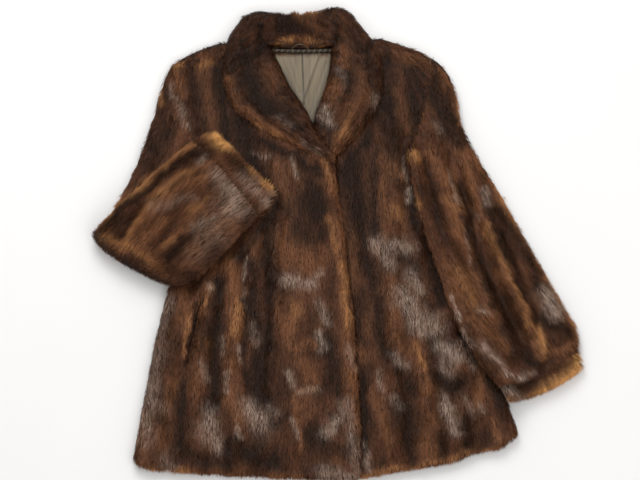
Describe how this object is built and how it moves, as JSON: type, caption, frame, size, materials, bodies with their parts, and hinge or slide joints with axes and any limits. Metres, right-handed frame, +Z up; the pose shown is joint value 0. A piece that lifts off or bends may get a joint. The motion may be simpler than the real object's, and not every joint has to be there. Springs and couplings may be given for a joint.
{
  "type": "fur coat",
  "caption": "Hip-length fur coat with a shawl collar and full cuffed sleeves, laid flat on its back, one sleeve folded over the front.",
  "frame": {"origin": "middle of the laid coat's outline, on the surface that it lies on", "axes": "+Z up from the surface, out of the coat's front; +Y towards the collar; +X towards the coat's left sleeve"},
  "size_m": [0.78, 0.764, 0.0528],
  "materials": {
    "body_fur": "glossy mink fur",
    "collar_fur": "glossy mink fur",
    "sleeve_fur": "glossy mink fur",
    "cuff_fur": "glossy mink fur with ginger tips",
    "lining_satin": "satin",
    "braid": "matt twisted braid",
    "loop_cord": "matt cord"
  },
  "bodies": {
    "root": {"back": "body_fur", "left_front": "body_fur", "right_front": "body_fur", "lining": "lining_satin", "collar": "collar_fur", "left_sleeve": "sleeve_fur", "left_cuff": "cuff_fur", "right_sleeve": "sleeve_fur", "right_cuff": "cuff_fur", "neck_trim": "braid", "hanger_loop": "loop_cord"}
  },
  "joints": []
}
